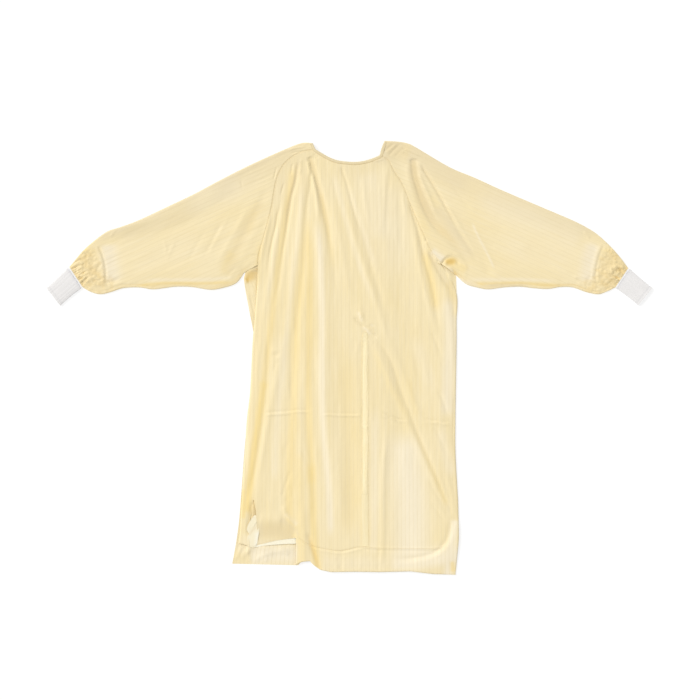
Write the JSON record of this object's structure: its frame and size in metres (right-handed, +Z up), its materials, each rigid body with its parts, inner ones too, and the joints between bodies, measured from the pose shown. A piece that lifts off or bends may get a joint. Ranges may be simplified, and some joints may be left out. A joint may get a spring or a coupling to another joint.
{
  "type": "isolation gown",
  "caption": "Reusable long-sleeved isolation gown with raglan sleeves, knit cuffs, a bound round neck and tape ties, laid flat front side up.",
  "frame": {"origin": "middle of the laid-out gown's bounding box, on the surface it lies on", "axes": "+X across the gown towards the wearer's left sleeve, +Y from the hem to the neck, +Z up out of the surface"},
  "size_m": [1.6072, 1.1508, 0.0158],
  "materials": {
    "gown_cloth": "pale yellow pinstriped polyester plain weave, light satin sheen",
    "tie_tape": "pale yellow folded cloth tape, matte",
    "neck_binding": "yellow folded cloth binding, matte",
    "cuff_knit": "white rib knit, matte"
  },
  "bodies": {
    "root": {"front_panel": "gown_cloth", "back_panel_left": "gown_cloth", "back_panel_right": "gown_cloth", "sleeve_left": "gown_cloth", "sleeve_right": "gown_cloth", "cuff_left": "cuff_knit", "cuff_right": "cuff_knit", "neck_binding": "neck_binding", "waist_tie": "tie_tape", "back_tie_left": "tie_tape", "back_tie_right": "tie_tape", "neck_tie_left": "tie_tape", "neck_tie_right": "tie_tape"}
  },
  "joints": []
}
